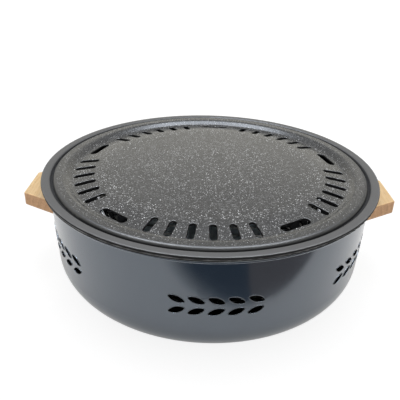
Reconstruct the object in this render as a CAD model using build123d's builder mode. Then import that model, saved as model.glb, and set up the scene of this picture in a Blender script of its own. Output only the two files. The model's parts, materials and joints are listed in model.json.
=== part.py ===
from build123d import *
import math
import os

os.makedirs("parts", exist_ok=True)

# Portable round charcoal grill. Lengths are millimetres and angles are degrees.
# The origin is on the table under the grill's middle, +Z is up and the front faces -Y.
# A place round the grill is an angle from the front, counted towards the right handle at +X.

# Feet
foot_height = 6.0
foot_radius = 11.0
foot_taper = 1.5
foot_spread_radius = 92.0
foot_places = {"front_left": -45, "front_right": 45, "back_right": 135, "back_left": 225}

# Body shell, a deep-drawn steel bowl with a rolled rim and a raised panel in its floor
shell_height = 107.0
shell_rim_radius = 162.0
shell_base_taper = 3.4
shell_corner_radius = 34.0
shell_sheet = 1.0
shell_bead_radius = 2.2
panel_radius = 66.0
panel_rise = 2.5
panel_slope_run = 5.0
panel_bend = 4.0

# Leaf-shaped air vents in groups round the shell, each group opposite its twin
leaf_length = 15.4
leaf_width = 6.2
leaf_tip_round = 1.0
leaf_tilt = 20.3
leaf_columns = 5
leaf_column_step = 5.87
leaf_row_spacing = 11.4
vent_height = 59.2
vent_group_places = (2.1, 58.0, 120.7, 182.1, 238.0, 300.7)

# Drip tray, a ring-shaped trough that hangs on the shell's rim
tray_sheet = 0.8
tray_overhang = 3.0
tray_hem_radius = 1.15
tray_side_gap = 9.5
tray_taper = 3.0
tray_floor_above_vents = 11.2
tray_trough_width = 33.5
tray_collar_height = 7.6
tray_lip_bend = 2.5
tray_floor_bend = 6.0
tray_collar_bend = 2.5

# Charcoal basin, a stainless bowl that hangs by its rolled rim on the tray's collar
basin_sheet = 1.0
basin_bead_radius = 1.8
basin_taper = 19.0
basin_corner_radius = 14.0
basin_floor_gap = 20.0
basin_hole_radius = 4.0
basin_hole_pitch_share = 0.25
basin_hole_counts = (6, 12, 18)
basin_side_hole_radius = 4.0
basin_side_hole_count = 16
basin_side_hole_drop = 17.0

# Charcoal grate, a pressed plate with two fields of slots on bent legs
grate_sheet = 1.5
grate_edge_gap = 2.0
grate_slot_width = 6.0
grate_row_pitch = 16.0
grate_rows_each_way = 5
grate_spine_width = 42.0
grate_border = 9.0
grate_leg_height = 15.0
grate_leg_width = 12.0
grate_leg_inset = 3.0
grate_leg_count = 4
grate_leg_first_place = 45.0

# Support ring, the dark frame round the plate
ring_sheet = 1.0
ring_overhang = 0.8
ring_hem_radius = 1.15
ring_face_width = 9.2
ring_rise = 3.4
ring_lip_width = 11.5
ring_foot_bend_share = 0.23
ring_shoulder_bend_share = 0.73

# Grill plate, a pressed dish with a turned-down rim, a fat gutter and two kinds of slot
plate_thickness = 2.0
plate_side_gap = 2.1
plate_rim_height = 4.0
plate_flange_width = 10.7
plate_gutter_depth = 5.1
plate_wall_run = 6.8
plate_slope_drop = 3.55
plate_slope_run = 25.0
plate_crown_rise = 1.75
plate_crown_flat_share = 0.43
plate_crown_blend_share = 0.59
plate_slope_bend = 110.0
plate_gutter_bend = 5.0
plate_flange_bend = 4.5
plate_rim_bend = 2.2
plate_turn = -3.1
slot_groups = 5
slots_in_group = 6
slot_step = 8.0
slot_length = 20.7
slot_width = 6.5
slot_inset = 29.9
long_slot_length = 31.5
long_slot_width = 8.3
long_slot_inset = 25.4
slot_lip_round = 0.6

# Wooden side handles
handle_projection = 27.0
handle_outer_length = 49.4
handle_end_slant = 30.0
handle_thickness = 14.0
handle_drop = 18.0
handle_corner_round = 2.5
handle_edge_round = 1.4
handle_screw_spacing = 36.0
handle_screw_depth = 17.0

# Heat shield over the shell's floor
shield_sheet = 0.8
shield_margin = 13.0
shield_rim_height = 7.0
shield_bend = 3.0
shield_standoff = 10.0

# Fasteners
screw_radius = 2.0
screw_head_radius = 3.8
screw_head_height = 2.2
washer_radius = 5.5
washer_thickness = 1.0
nut_across_flats = 7.0
nut_height = 3.2
nut_chamfer = 0.4
screw_stand_out = 1.5
spacer_radius = 4.5
foot_recess_depth = 3.2

# Clearances
seat_gap = 0.2
hole_clearance = 0.2
thread_clearance = 0.05
recess_clearance = 0.7
collar_clearance = 0.4
washer_clearance = 0.3
cut_overrun = 1.0

# A face counts as upright when the square of its normal's rise is below this share
level_share = 0.001

# Heights that follow, counted up from the table
shell_bottom = foot_height
shell_top = shell_bottom + shell_height
bead_centre_height = shell_top - shell_bead_radius
vent_middle = shell_bottom + vent_height
tray_flange_bottom = shell_top + seat_gap
tray_flange_top = tray_flange_bottom + tray_sheet
tray_floor_bottom = vent_middle + tray_floor_above_vents
tray_collar_top = tray_floor_bottom + tray_collar_height
shield_bottom = shell_bottom + shell_sheet + shield_standoff
basin_bead_height = tray_collar_top + seat_gap + basin_bead_radius
basin_bottom = shield_bottom + shield_sheet + basin_floor_gap
grate_bottom = basin_bottom + basin_sheet + grate_leg_height
ring_lip_top = tray_flange_top + ring_sheet
ring_top = ring_lip_top + ring_rise
flange_top = ring_lip_top + plate_rim_height
gutter_top = flange_top - plate_gutter_depth
slope_top = gutter_top + plate_slope_drop
crown_top = slope_top + plate_crown_rise
handle_top = shell_top - handle_drop
handle_bottom = handle_top - handle_thickness
handle_middle = (handle_top + handle_bottom) / 2

# Radii that follow
shell_base_radius = shell_rim_radius - shell_base_taper
bead_centre_radius = shell_rim_radius - shell_sheet + shell_bead_radius
tray_flange_radius = bead_centre_radius + shell_bead_radius + tray_overhang
tray_wall_radius = shell_rim_radius - shell_sheet - tray_side_gap
tray_floor_radius = tray_wall_radius - tray_taper
basin_radius = tray_floor_radius - tray_trough_width
basin_base_radius = basin_radius - basin_taper
basin_hole_pitch = basin_base_radius * basin_hole_pitch_share
basin_bead_centre_radius = basin_radius - basin_sheet + basin_bead_radius
tray_collar_radius = basin_radius + collar_clearance
ring_radius = tray_flange_radius + ring_overhang
ring_opening_radius = ring_radius - ring_face_width
ring_lip_inner_radius = ring_opening_radius - ring_lip_width
plate_radius = ring_opening_radius - plate_side_gap
plate_flange_inner_radius = plate_radius - plate_flange_width
plate_gutter_radius = plate_flange_inner_radius - plate_wall_run
plate_slope_radius = plate_gutter_radius - plate_slope_run
plate_crown_flat_radius = plate_slope_radius * plate_crown_flat_share
slot_circle_radius = plate_radius - slot_inset
long_slot_circle_radius = plate_radius - long_slot_inset
shield_radius = foot_spread_radius + shield_margin
handle_reach = shell_rim_radius + handle_projection
screw_hole_radius = screw_radius + hole_clearance


def around(place):
    """Angle from the +X axis of a place that is given as an angle from the front."""
    return place - 90


def wall_plane(place, radius, height):
    """Plane that faces outwards at a place round the grill, with its Y axis up."""
    turn = math.radians(place)
    outwards = (math.sin(turn), -math.cos(turn), 0)
    sideways = (math.cos(turn), math.sin(turn), 0)
    origin = (radius * outwards[0], radius * outwards[1], height)
    return Plane(origin=origin, x_dir=sideways, z_dir=outwards)


def shell_radius_at(height):
    """Outer radius of the shell's straight wall at a height."""
    share_up = (height - shell_bottom) / (bead_centre_height - shell_bottom)
    return shell_base_radius + shell_base_taper * share_up


def basin_radius_at(height):
    """Outer radius of the basin's sloping wall at a height."""
    share_up = (height - basin_bottom) / (basin_bead_height - basin_bottom)
    return basin_base_radius + basin_taper * share_up


def sheet_section(points, bends, thickness):
    """Section of a bent sheet whose middle follows the points, with one bend radius for each corner."""
    with BuildSketch() as section:
        with BuildLine():
            FilletPolyline(*points, radius=bends)
        trace(line_width=thickness)
    return section.sketch


def on_slope_top(edge):
    """True for an edge that lies on the upper side of the plate's slope."""
    centre = edge.center()
    share_up = (plate_gutter_radius - math.hypot(centre.X, centre.Y)) / plate_slope_run
    return centre.Z > gutter_top + plate_slope_drop * share_up - plate_thickness / 2


def leaf():
    """Oval of one vent with rounded tips, lying level. Its length is given to the tips before rounding."""
    tip = leaf_length / 2
    side = leaf_width / 2
    with BuildSketch() as outline:
        with BuildLine():
            ThreePointArc((-tip, 0), (0, side), (tip, 0))
            ThreePointArc((tip, 0), (0, -side), (-tip, 0))
        make_face()
        fillet(outline.vertices(), leaf_tip_round)
    return outline.sketch


def pan_screw(shank_length):
    """Screw that stands on its plane, with its head behind the plane and its shank in front."""
    with BuildPart() as screw:
        Cylinder(screw_radius, shank_length, align=(Align.CENTER, Align.CENTER, Align.MIN))
        Cylinder(screw_head_radius, screw_head_height, align=(Align.CENTER, Align.CENTER, Align.MAX))
        fillet(screw.edges().group_by(Axis.Z)[0], screw_head_height / 2)
    return screw.part


# Body shell: wall, floor with its raised panel, rolled rim, leaf vents and screw holes
floor_middle = shell_bottom + shell_sheet / 2
wall_inset = shell_sheet / 2
handle_screw_angle = math.degrees(math.asin(handle_screw_spacing / 2 / shell_radius_at(handle_middle)))
handle_screw_places = [side * 90 + half * handle_screw_angle for side in (1, -1) for half in (1, -1)]
with BuildPart() as body_shell:
    with BuildSketch(Plane.XZ):
        add(
            sheet_section(
                [
                    (0, floor_middle + panel_rise),
                    (panel_radius, floor_middle + panel_rise),
                    (panel_radius + panel_slope_run, floor_middle),
                    (shell_base_radius - wall_inset, floor_middle),
                    (shell_rim_radius - wall_inset, bead_centre_height),
                ],
                [panel_bend, panel_bend, shell_corner_radius - wall_inset],
                shell_sheet,
            )
        )
        with Locations((bead_centre_radius, bead_centre_height)):
            Circle(shell_bead_radius)
    revolve(axis=Axis.Z)
    for group_place in vent_group_places:
        for column in range(leaf_columns):
            column_place = group_place + (column - (leaf_columns - 1) / 2) * leaf_column_step
            for side in (1, -1):
                leaf_height = vent_middle + side * leaf_row_spacing / 2
                with BuildSketch(wall_plane(column_place, shell_radius_at(leaf_height) - wall_inset, leaf_height)):
                    add(leaf(), rotation=-side * leaf_tilt)
    extrude(amount=wall_inset + cut_overrun, both=True, mode=Mode.SUBTRACT)
    with BuildSketch(Plane.XY.offset(shell_bottom)):
        for place in foot_places.values():
            with PolarLocations(foot_spread_radius, 1, around(place)):
                Circle(screw_hole_radius)
    extrude(amount=shell_sheet + cut_overrun, both=True, mode=Mode.SUBTRACT)
    for place in handle_screw_places:
        with BuildSketch(wall_plane(place, shell_radius_at(handle_middle) - wall_inset, handle_middle)):
            Circle(screw_hole_radius)
    extrude(amount=wall_inset + cut_overrun, both=True, mode=Mode.SUBTRACT)
body_shell.part.label = "body_shell"
export_step(body_shell.part, "parts/body_shell.step")

# Drip tray: flange with a rolled hem on the shell's rim, outer wall, trough floor and the basin's collar
tray_half = tray_sheet / 2
with BuildPart() as drip_tray:
    with BuildSketch(Plane.XZ):
        add(
            sheet_section(
                [
                    (tray_flange_radius - tray_hem_radius, tray_flange_top - tray_half),
                    (tray_wall_radius - tray_half, tray_flange_top - tray_half),
                    (tray_floor_radius - tray_half, tray_floor_bottom + tray_half),
                    (tray_collar_radius + tray_half, tray_floor_bottom + tray_half),
                    (tray_collar_radius + tray_half, tray_collar_top),
                ],
                [tray_lip_bend, tray_floor_bend, tray_collar_bend],
                tray_sheet,
            )
        )
        with Locations((tray_flange_radius - tray_hem_radius, tray_flange_bottom + tray_hem_radius)):
            Circle(tray_hem_radius)
    revolve(axis=Axis.Z)
drip_tray.part.label = "drip_tray"
export_step(drip_tray.part, "parts/drip_tray.step")

# Charcoal basin: bowl with a rolled rim, rings of ash holes in its floor and air holes in its wall
basin_half = basin_sheet / 2
side_hole_height = basin_bead_height - basin_side_hole_drop
with BuildPart() as charcoal_basin:
    with BuildSketch(Plane.XZ):
        add(
            sheet_section(
                [
                    (0, basin_bottom + basin_half),
                    (basin_base_radius - basin_half, basin_bottom + basin_half),
                    (basin_radius - basin_half, basin_bead_height),
                ],
                [basin_corner_radius],
                basin_sheet,
            )
        )
        with Locations((basin_bead_centre_radius, basin_bead_height)):
            Circle(basin_bead_radius)
    revolve(axis=Axis.Z)
    with BuildSketch(Plane.XY.offset(basin_bottom)):
        Circle(basin_hole_radius)
        for ring_number, hole_count in enumerate(basin_hole_counts, start=1):
            with PolarLocations(ring_number * basin_hole_pitch, hole_count):
                Circle(basin_hole_radius)
    extrude(amount=basin_sheet + cut_overrun, both=True, mode=Mode.SUBTRACT)
    for number in range(basin_side_hole_count):
        hole_place = (number + 1 / 2) * 360 / basin_side_hole_count
        with BuildSketch(wall_plane(hole_place, basin_radius_at(side_hole_height), side_hole_height)):
            Circle(basin_side_hole_radius)
    extrude(amount=basin_side_hole_radius + basin_sheet, both=True, mode=Mode.SUBTRACT)
charcoal_basin.part.label = "charcoal_basin"
export_step(charcoal_basin.part, "parts/charcoal_basin.step")

# Charcoal grate: slots on both sides of a plain spine, and legs bent down at its edge
grate_radius = basin_radius_at(grate_bottom) - basin_sheet - grate_edge_gap
grate_leg_circle = basin_base_radius - basin_corner_radius - grate_leg_inset
grate_slot_start = grate_spine_width / 2
with BuildPart() as charcoal_grate:
    with BuildSketch(Plane.XY.offset(grate_bottom)):
        Circle(grate_radius)
        for row in range(-grate_rows_each_way, grate_rows_each_way + 1):
            row_y = row * grate_row_pitch
            row_end = math.sqrt(max(0, (grate_radius - grate_border) ** 2 - row_y**2))
            row_length = row_end - grate_slot_start
            if row_length > grate_slot_width:
                with Locations(
                    (grate_slot_start + row_length / 2, row_y),
                    (-grate_slot_start - row_length / 2, row_y),
                ):
                    SlotOverall(row_length, grate_slot_width, mode=Mode.SUBTRACT)
    extrude(amount=grate_sheet)
    with BuildSketch(Plane.XY.offset(grate_bottom)):
        with PolarLocations(grate_leg_circle, grate_leg_count, around(grate_leg_first_place)):
            Rectangle(grate_sheet, grate_leg_width)
    extrude(amount=-(grate_leg_height - seat_gap))
charcoal_grate.part.label = "charcoal_grate"
export_step(charcoal_grate.part, "parts/charcoal_grate.step")

# Support ring: inner lip under the plate, riser, flat face and a rolled hem at its edge
ring_half = ring_sheet / 2
with BuildPart() as support_ring:
    with BuildSketch(Plane.XZ):
        add(
            sheet_section(
                [
                    (ring_lip_inner_radius, ring_lip_top - ring_half),
                    (ring_opening_radius + ring_half, ring_lip_top - ring_half),
                    (ring_opening_radius + ring_half, ring_top - ring_half),
                    (ring_radius - ring_hem_radius, ring_top - ring_half),
                ],
                [ring_rise * ring_foot_bend_share, ring_rise * ring_shoulder_bend_share],
                ring_sheet,
            )
        )
        with Locations((ring_radius - ring_hem_radius, ring_top - ring_hem_radius)):
            Circle(ring_hem_radius)
    revolve(axis=Axis.Z)
support_ring.part.label = "support_ring"
export_step(support_ring.part, "parts/support_ring.step")

# Grill plate: crowned middle, slope down to the gutter, wall, flange, rim and the two kinds of slot
plate_half = plate_thickness / 2
crown_angle = math.atan(plate_crown_rise / (plate_slope_radius - plate_crown_flat_radius))
crown_bend = plate_crown_flat_radius * plate_crown_blend_share / math.tan(crown_angle / 2)
with BuildPart() as grill_plate:
    with BuildSketch(Plane.XZ):
        add(
            sheet_section(
                [
                    (0, crown_top - plate_half),
                    (plate_crown_flat_radius, crown_top - plate_half),
                    (plate_slope_radius, slope_top - plate_half),
                    (plate_gutter_radius, gutter_top - plate_half),
                    (plate_flange_inner_radius, flange_top - plate_half),
                    (plate_radius - plate_half, flange_top - plate_half),
                    (plate_radius - plate_half, ring_lip_top),
                ],
                [crown_bend, plate_slope_bend, plate_gutter_bend, plate_flange_bend, plate_rim_bend],
                plate_thickness,
            )
        )
    revolve(axis=Axis.Z)
    with BuildSketch(Plane.XY.offset(gutter_top)):
        for group in range(slot_groups):
            group_place = plate_turn + group * 360 / slot_groups
            first_place = group_place - (slots_in_group - 1) / 2 * slot_step
            for slot in range(slots_in_group):
                with PolarLocations(slot_circle_radius, 1, around(first_place + slot * slot_step)):
                    SlotOverall(slot_length, slot_width)
            with PolarLocations(long_slot_circle_radius, 1, around(group_place + 180 / slot_groups)):
                SlotOverall(long_slot_length, long_slot_width, rotation=90)
    extrude(amount=plate_thickness + plate_slope_drop + cut_overrun, both=True, mode=Mode.SUBTRACT)
    slot_walls = [face for face in grill_plate.faces(Select.LAST) if face.normal_at().Z**2 < level_share]
    slot_edges = [edge for wall in slot_walls for edge in wall.edges().filter_by(Axis.Z, reverse=True)]
    fillet([edge for edge in slot_edges if on_slope_top(edge)], slot_lip_round)
grill_plate.part.label = "grill_plate"
export_step(grill_plate.part, "parts/grill_plate.step")

# Heat shield: shallow dish over the shell's floor that keeps the heat in and catches the ash
shield_half = shield_sheet / 2
with BuildPart() as heat_shield:
    with BuildSketch(Plane.XZ):
        add(
            sheet_section(
                [
                    (0, shield_bottom + shield_half),
                    (shield_radius, shield_bottom + shield_half),
                    (shield_radius + shield_rim_height, shield_bottom + shield_rim_height),
                ],
                [shield_bend],
                shield_sheet,
            )
        )
    revolve(axis=Axis.Z)
    with BuildSketch(Plane.XY.offset(shield_bottom)):
        for place in foot_places.values():
            with PolarLocations(foot_spread_radius, 1, around(place)):
                Circle(screw_hole_radius)
    extrude(amount=shield_sheet + cut_overrun, both=True, mode=Mode.SUBTRACT)
heat_shield.part.label = "heat_shield"
export_step(heat_shield.part, "parts/heat_shield.step")

# Wooden handles: blocks with slanted ends whose backs follow the shell's wall
handle_back = shell_rim_radius - handle_projection
handle_outer_half = handle_outer_length / 2
handle_back_half = handle_outer_half + (handle_reach - handle_back) * math.tan(math.radians(handle_end_slant))
with BuildPart() as handle_right:
    with BuildSketch(Plane.XY.offset(handle_bottom)):
        with BuildLine():
            Polyline(
                (handle_back, -handle_back_half),
                (handle_reach, -handle_outer_half),
                (handle_reach, handle_outer_half),
                (handle_back, handle_back_half),
                close=True,
            )
        make_face()
    extrude(amount=handle_thickness)
    fillet(handle_right.edges().filter_by(Axis.Z).group_by(Axis.X)[-1], handle_corner_round)
    long_edges = handle_right.faces().filter_by(Axis.Z).edges().sort_by(Axis.X)[2:]
    fillet(long_edges, handle_edge_round)
    with BuildSketch(Plane.XZ):
        with BuildLine():
            lower = handle_bottom - cut_overrun
            upper = handle_top + cut_overrun
            Polyline(
                (0, lower),
                (shell_radius_at(lower) + seat_gap, lower),
                (shell_radius_at(upper) + seat_gap, upper),
                (0, upper),
                close=True,
            )
        make_face()
    revolve(axis=Axis.Z, mode=Mode.SUBTRACT)
    for half in (1, -1):
        screw_plane = wall_plane(90 + half * handle_screw_angle, shell_rim_radius - cut_overrun, handle_middle)
        with BuildSketch(screw_plane):
            Circle(screw_radius + thread_clearance)
    extrude(amount=handle_screw_depth + cut_overrun, mode=Mode.SUBTRACT)
handle_right.part.label = "handle_right"
export_step(handle_right.part, "parts/handle_right.step")

with BuildPart() as handle_left:
    mirror(handle_right.part, about=Plane.YZ)
handle_left.part.label = "handle_left"
export_step(handle_left.part, "parts/handle_left.step")

# Handle screws and washers, driven from inside the shell
washer_face_radius = shell_radius_at(handle_middle) - shell_sheet - washer_clearance
head_face_radius = washer_face_radius - washer_thickness
handle_shank = shell_rim_radius + handle_screw_depth - head_face_radius - cut_overrun
for side_name, side in (("right", 1), ("left", -1)):
    with BuildPart() as handle_screws:
        for half in (1, -1):
            with Locations(wall_plane(side * 90 + half * handle_screw_angle, head_face_radius, handle_middle)):
                add(pan_screw(handle_shank))
    handle_screws.part.label = f"handle_screws_{side_name}"
    export_step(handle_screws.part, f"parts/handle_screws_{side_name}.step")

    with BuildPart() as handle_washers:
        for half in (1, -1):
            with BuildSketch(wall_plane(side * 90 + half * handle_screw_angle, head_face_radius, handle_middle)):
                Circle(washer_radius)
                Circle(screw_hole_radius, mode=Mode.SUBTRACT)
        extrude(amount=washer_thickness)
    handle_washers.part.label = f"handle_washers_{side_name}"
    export_step(handle_washers.part, f"parts/handle_washers_{side_name}.step")

# Rubber feet, each with a recess below for the head of its screw
foot_bottom_radius = foot_radius - foot_taper
for foot_name, place in foot_places.items():
    turn = math.radians(around(place))
    foot_centre = (foot_spread_radius * math.cos(turn), foot_spread_radius * math.sin(turn), 0)
    with BuildPart(Plane(origin=foot_centre)) as foot:
        Cone(foot_bottom_radius, foot_radius, foot_height, align=(Align.CENTER, Align.CENTER, Align.MIN))
        Cylinder(
            screw_head_radius + recess_clearance,
            foot_recess_depth,
            align=(Align.CENTER, Align.CENTER, Align.MIN),
            mode=Mode.SUBTRACT,
        )
        Cylinder(
            screw_hole_radius,
            foot_height,
            align=(Align.CENTER, Align.CENTER, Align.MIN),
            mode=Mode.SUBTRACT,
        )
    foot.part.label = f"foot_{foot_name}"
    export_step(foot.part, f"parts/foot_{foot_name}.step")

# Foot screws, each through its foot, the shell, a spacer and the heat shield into a nut
nut_bottom = shield_bottom + shield_sheet
foot_shank = nut_bottom + nut_height + screw_stand_out - foot_recess_depth
with BuildPart() as foot_screws:
    for place in foot_places.values():
        with Locations(Plane.XY.offset(foot_recess_depth)):
            with PolarLocations(foot_spread_radius, 1, around(place)):
                add(pan_screw(foot_shank))
foot_screws.part.label = "foot_screws"
export_step(foot_screws.part, "parts/foot_screws.step")

with BuildPart() as shield_spacers:
    with BuildSketch(Plane.XY.offset(shell_bottom + shell_sheet)):
        for place in foot_places.values():
            with PolarLocations(foot_spread_radius, 1, around(place)):
                Circle(spacer_radius)
                Circle(screw_hole_radius, mode=Mode.SUBTRACT)
    extrude(amount=shield_standoff)
shield_spacers.part.label = "shield_spacers"
export_step(shield_spacers.part, "parts/shield_spacers.step")

with BuildPart() as shield_nuts:
    with BuildSketch(Plane.XY.offset(nut_bottom)):
        for place in foot_places.values():
            with PolarLocations(foot_spread_radius, 1, around(place)):
                RegularPolygon(nut_across_flats / 2, 6, major_radius=False)
                Circle(screw_radius + thread_clearance, mode=Mode.SUBTRACT)
    extrude(amount=nut_height)
    chamfer(shield_nuts.edges().group_by(Axis.Z)[-1].filter_by(GeomType.LINE), nut_chamfer)
shield_nuts.part.label = "shield_nuts"
export_step(shield_nuts.part, "parts/shield_nuts.step")
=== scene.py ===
"""Finishes, fine detail, studio and camera of a round tabletop charcoal grill.

Lengths are metres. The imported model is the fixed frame: +Z is up, -Y is the front.
"""

import json
import logging
import math
from dataclasses import dataclass, field
from enum import Enum
from typing import Iterable, Sequence, Union

import bmesh
import bpy
from mathutils import Matrix, Vector

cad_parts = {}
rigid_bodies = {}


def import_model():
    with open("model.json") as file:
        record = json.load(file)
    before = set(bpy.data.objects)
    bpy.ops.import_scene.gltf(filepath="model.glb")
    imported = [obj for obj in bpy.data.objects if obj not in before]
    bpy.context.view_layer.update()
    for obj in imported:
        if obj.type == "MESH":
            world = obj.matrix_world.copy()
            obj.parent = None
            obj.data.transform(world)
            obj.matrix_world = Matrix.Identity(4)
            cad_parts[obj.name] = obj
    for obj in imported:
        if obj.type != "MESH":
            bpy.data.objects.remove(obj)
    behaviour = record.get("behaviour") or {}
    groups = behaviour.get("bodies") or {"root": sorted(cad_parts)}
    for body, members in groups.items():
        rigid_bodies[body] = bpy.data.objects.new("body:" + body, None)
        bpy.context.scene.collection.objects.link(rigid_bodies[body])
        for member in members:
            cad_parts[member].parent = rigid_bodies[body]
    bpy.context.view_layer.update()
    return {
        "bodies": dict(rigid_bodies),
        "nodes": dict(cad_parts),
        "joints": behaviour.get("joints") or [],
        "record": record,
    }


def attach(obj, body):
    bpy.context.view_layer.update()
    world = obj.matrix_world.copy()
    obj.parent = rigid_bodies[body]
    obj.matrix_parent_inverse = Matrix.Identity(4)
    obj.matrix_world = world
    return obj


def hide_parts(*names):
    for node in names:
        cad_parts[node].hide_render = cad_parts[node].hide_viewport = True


LOG = logging.getLogger("charcoal_grill")
MM = 0.001

Colour = tuple[float, float, float]
Place = tuple[float, float, float]
Point = tuple[float, float]
Span = tuple[float, float]
Socket = bpy.types.NodeSocket
Sockets = dict[str, Socket]
Value = Union[float, Sequence[float], Socket]

WHOLE: Span = (0.0, 1.0)
NOISE_REACH: Span = (0.3, 0.7)


class Slot(Enum):
    """Material slots of the record."""

    SHELL_PAINT = "shell_paint"
    RING_PAINT = "ring_paint"
    PLATE_COATING = "plate_coating"
    PLAIN_STEEL = "plain_steel"
    BASIN_STEEL = "basin_steel"
    GRATE_STEEL = "grate_steel"
    ZINC_STEEL = "zinc_steel"
    HANDLE_WOOD = "handle_wood"
    FOOT_RUBBER = "foot_rubber"


class Kind(Enum):
    """Kinds of socket that a node group has."""

    COLOUR = "NodeSocketColor"
    NUMBER = "NodeSocketFloat"


class Axis(Enum):
    """Axes of the frame that a finish asks for, by their number."""

    Y = 1
    Z = 2


def grey(level: float) -> Colour:
    """Neutral colour of one level."""
    return (level, level, level)


class Tree:
    """Short calls that add and join the nodes of one node tree."""

    def __init__(self, tree: bpy.types.NodeTree) -> None:
        """Work on an existing node tree."""
        self.tree = tree

    def feed(self, socket: Socket, value: Value) -> None:
        """Join a socket to another one, or give it a constant.

        Args:
            socket: The input to set.
            value: Another node's output, a number, or a colour or vector.
        """
        if isinstance(value, bpy.types.NodeSocket):
            self.tree.links.new(value, socket)
        elif socket.type == "RGBA" and len(value) == 3:
            socket.default_value = (*value, 1.0)
        else:
            socket.default_value = value

    def add(self, kind: str, inputs: dict[Union[str, int], Value] | None = None,
            **settings: object) -> bpy.types.Node:
        """Add a node.

        Args:
            kind: Blender's name of the node type, without its ShaderNode prefix.
            inputs: What each input takes, by name or number.
            **settings: Attributes of the node itself.

        Returns:
            The new node.
        """
        node = self.tree.nodes.new("ShaderNode" + kind)
        for name, value in settings.items():
            setattr(node, name, value)
        for name, value in (inputs or {}).items():
            self.feed(node.inputs[name], value)
        return node

    def math(self, operation: str, first: Value, second: Value = 0.0, clamp: bool = False) -> Socket:
        """Work out one operation on two numbers.

        Args:
            operation: Blender's name of the operation.
            first: The first number.
            second: The second number, where the operation has one.
            clamp: Whether the answer stays between 0 and 1.

        Returns:
            The output socket.
        """
        node = self.add("Math", {0: first, 1: second}, operation=operation, use_clamp=clamp)
        return node.outputs[0]

    def span(self, value: Value, reach: Span = WHOLE, to: Span = WHOLE) -> Socket:
        """Map a range of numbers smoothly to another one.

        Args:
            value: The number to map.
            reach: Where its range starts and ends.
            to: The answers at the start and at the end.

        Returns:
            The output socket.
        """
        limits = {"Value": value, "From Min": reach[0], "From Max": reach[1],
                  "To Min": to[0], "To Max": to[1]}
        return self.add("MapRange", limits, interpolation_type="SMOOTHSTEP").outputs["Result"]

    def blend(self, share: Value, first: Value, second: Value) -> Socket:
        """Blend two colours.

        Args:
            share: How much of the second colour shows.
            first: The first colour.
            second: The second colour.

        Returns:
            The output socket.
        """
        return self.add("Mix", {0: share, 6: first, 7: second}, data_type="RGBA").outputs[2]

    def place(self) -> Socket:
        """Where a point lies, in the object's own coordinates."""
        return self.add("TexCoord").outputs["Object"]

    def parts(self, vector: Socket) -> Sequence[Socket]:
        """The three parts of a vector."""
        return self.add("SeparateXYZ", {0: vector}).outputs

    def facing(self, axis: Axis) -> Socket:
        """How squarely the surface faces along an axis, from -1 to 1."""
        return self.parts(self.add("NewGeometry").outputs["Normal"])[axis.value]

    def from_axis(self, parts: Sequence[Socket]) -> Socket:
        """Work out how far a place lies from the grill's upright axis.

        Args:
            parts: The place's three parts.

        Returns:
            The distance's socket.
        """
        across = self.math("POWER", parts[0], 2.0)
        along = self.math("POWER", parts[1], 2.0)
        return self.math("SQRT", self.math("ADD", across, along))

    def noise(self, place: Value, scale: Value, detail: float, roughness: float = 0.5) -> bpy.types.Node:
        """Add a noise.

        Args:
            place: Where the noise is read.
            scale: How fine it is.
            detail: How many finer layers it has.
            roughness: How strong those are.

        Returns:
            The noise's node.
        """
        settings = {"Vector": place, "Scale": scale, "Detail": detail, "Roughness": roughness}
        return self.add("TexNoise", settings)

    def stray(self, place: Socket, noise: Socket, reach: float) -> Socket:
        """Move a place about by a noise.

        Args:
            place: The place.
            noise: The noise's colour.
            reach: How far a whole step of the noise moves it, in metres.

        Returns:
            The moved place.
        """
        centred = self.add("VectorMath", {0: noise, 1: grey(0.5)}, operation="SUBTRACT").outputs[0]
        small = self.add("VectorMath", {0: centred, "Scale": reach}, operation="SCALE").outputs[0]
        return self.add("VectorMath", {0: place, 1: small}, operation="ADD").outputs[0]


@dataclass(frozen=True)
class Effect:
    """Node group that several finishes share. It is built once, when it is first used."""

    name: str
    inputs: dict[str, Kind]
    outputs: dict[str, Kind]

    def fill(self, tree: Tree, source: Sockets, target: Sockets) -> None:
        """Add the group's own nodes. Each effect has its own.

        Args:
            tree: The group's tree.
            source: The group's inputs, by name.
            target: The group's outputs, by name.
        """
        raise NotImplementedError

    def group(self) -> bpy.types.NodeTree:
        """Give the group, building it if it isn't there.

        Returns:
            The group's tree.
        """
        found = bpy.data.node_groups.get(self.name)
        if found is None:
            found = bpy.data.node_groups.new(self.name, "ShaderNodeTree")
            for way, sockets in (("INPUT", self.inputs), ("OUTPUT", self.outputs)):
                for label, kind in sockets.items():
                    found.interface.new_socket(label, in_out=way, socket_type=kind.value)
            start = found.nodes.new("NodeGroupInput")
            end = found.nodes.new("NodeGroupOutput")
            source = {label: start.outputs[label] for label in self.inputs}
            target = {label: end.inputs[label] for label in self.outputs}
            self.fill(Tree(found), source, target)
        return found

    def use(self, tree: Tree, **inputs: Value) -> bpy.types.Node:
        """Place the group in a material with its own values.

        Args:
            tree: The material's tree.
            **inputs: The group's inputs, in small letters.

        Returns:
            The group's node.
        """
        node = tree.add("Group", node_tree=self.group())
        for name, value in inputs.items():
            tree.feed(node.inputs[name.title()], value)
        return node


@dataclass(frozen=True)
class Mottling(Effect):
    """Soft clouds between two colours."""

    detail: float = 5.0
    roughness: float = 0.6

    def fill(self, tree: Tree, source: Sockets, target: Sockets) -> None:
        """Blend the two colours by a noise, and give its mask too.

        Args:
            tree: The group's tree.
            source: First, Second and Scale.
            target: Color and Mask.
        """
        cloud = tree.noise(tree.place(), source["Scale"], self.detail, self.roughness)
        mask = tree.span(cloud.outputs["Fac"], NOISE_REACH)
        tree.feed(target["Color"], tree.blend(mask, source["First"], source["Second"]))
        tree.feed(target["Mask"], mask)


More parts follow.
